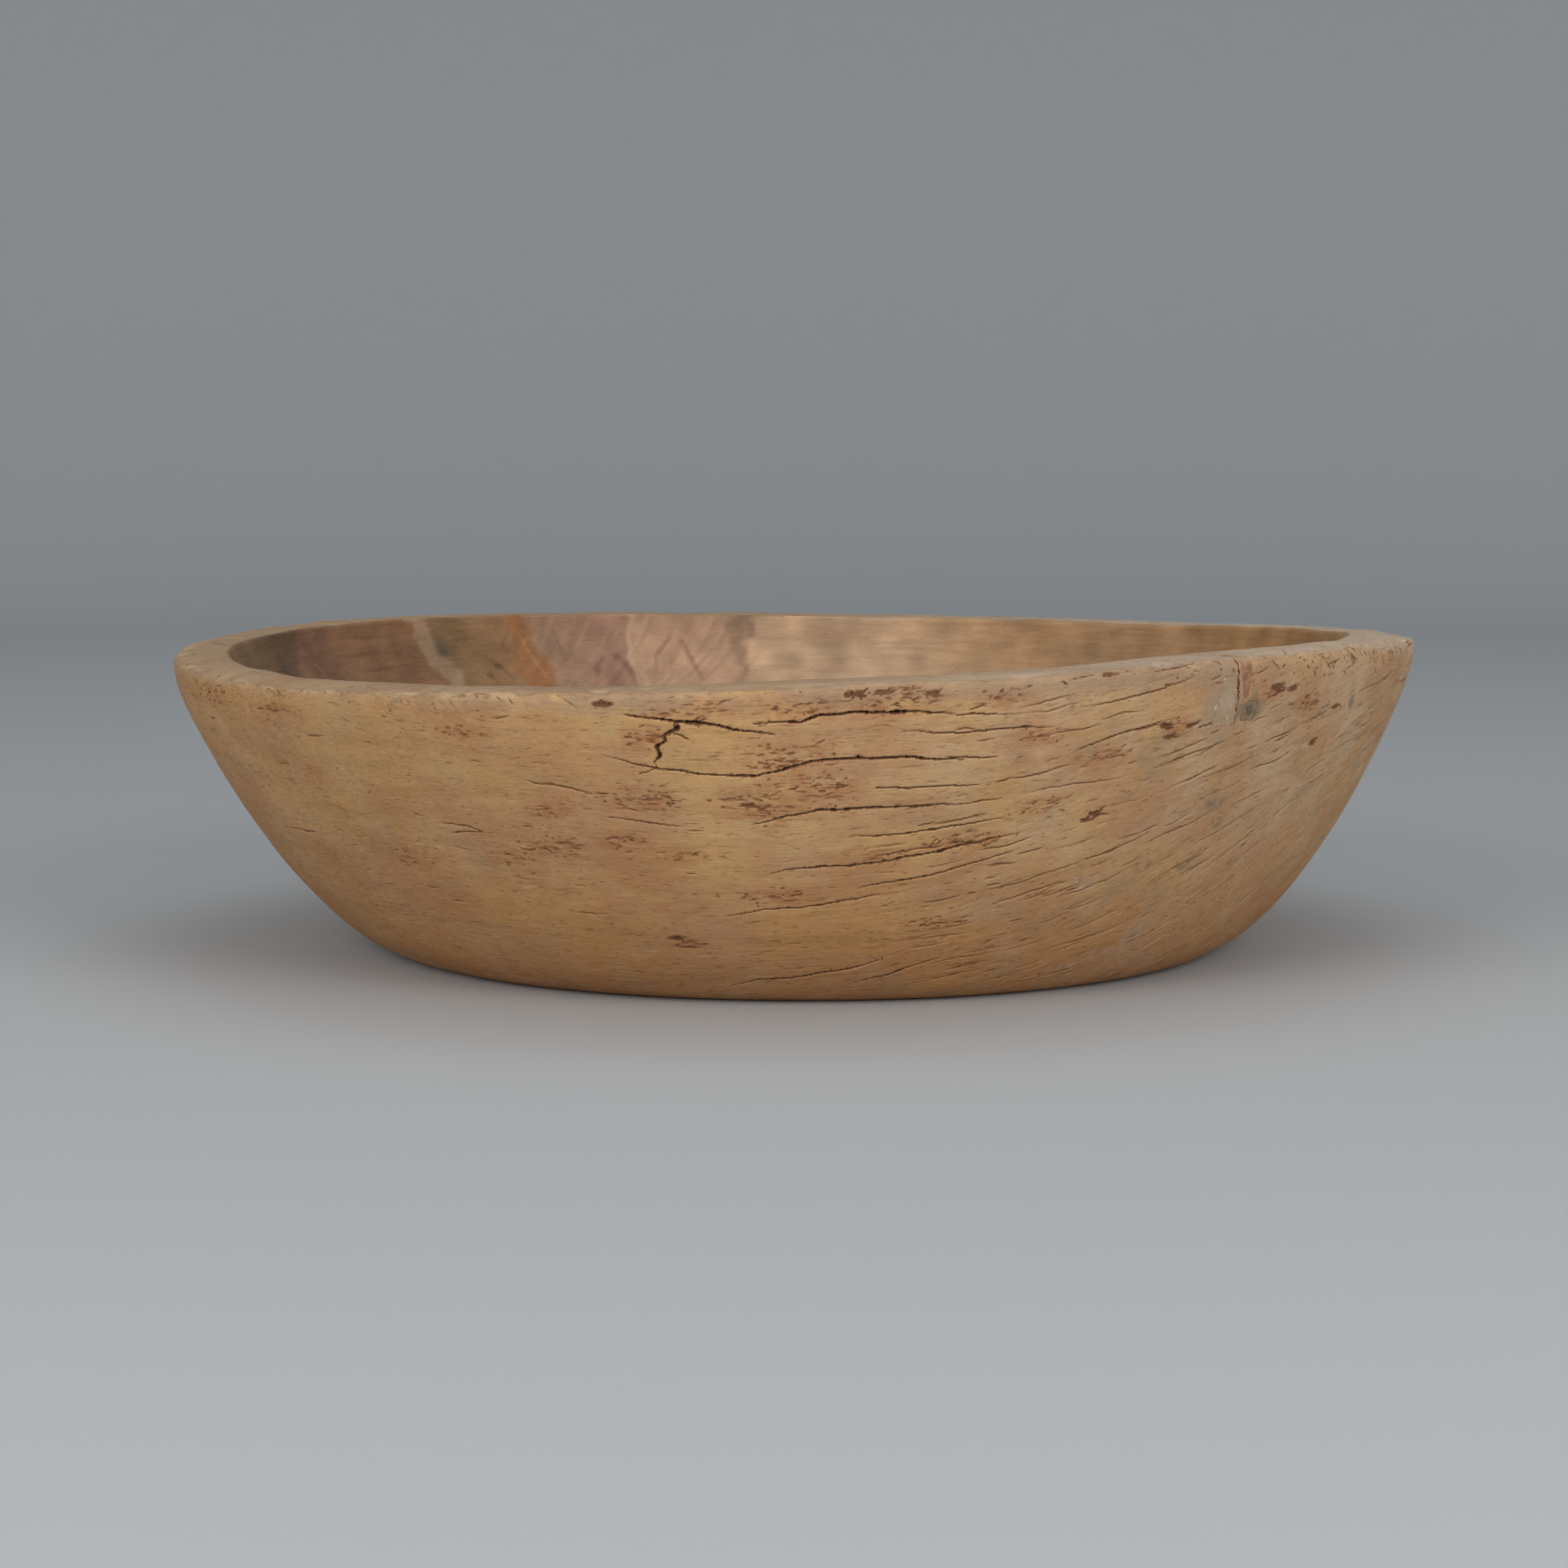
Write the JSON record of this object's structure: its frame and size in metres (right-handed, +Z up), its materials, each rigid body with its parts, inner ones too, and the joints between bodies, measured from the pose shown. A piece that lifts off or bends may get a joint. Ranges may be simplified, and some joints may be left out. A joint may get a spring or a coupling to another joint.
{
  "type": "bowl",
  "caption": "Large shallow bowl carved from one block of wood, slightly warped, with a thick flat rim, drying cracks and an old repair of a wedge and filler.",
  "frame": {"origin": "centre of the bowl's outline, on the plane of the flat underside it rests on", "axes": "+Z up out of the bowl's mouth; -Y is the front, and the old repair is at the rim between +X and -Y"},
  "size_m": [0.6374, 0.6424, 0.1652],
  "materials": {
    "bowl_wood": "dry, weathered, matt, with open grain and drying cracks",
    "wedge_wood": "reddish hardwood, dry and matt",
    "pale_filler": "pale grey putty, rough and chalky",
    "dark_filler": "dark grey resinous filler, dull"
  },
  "bodies": {
    "root": {"bowl_body": "bowl_wood", "split_wedge": "wedge_wood", "split_filler": "pale_filler", "wedge_foot_plug": "dark_filler"}
  },
  "joints": []
}
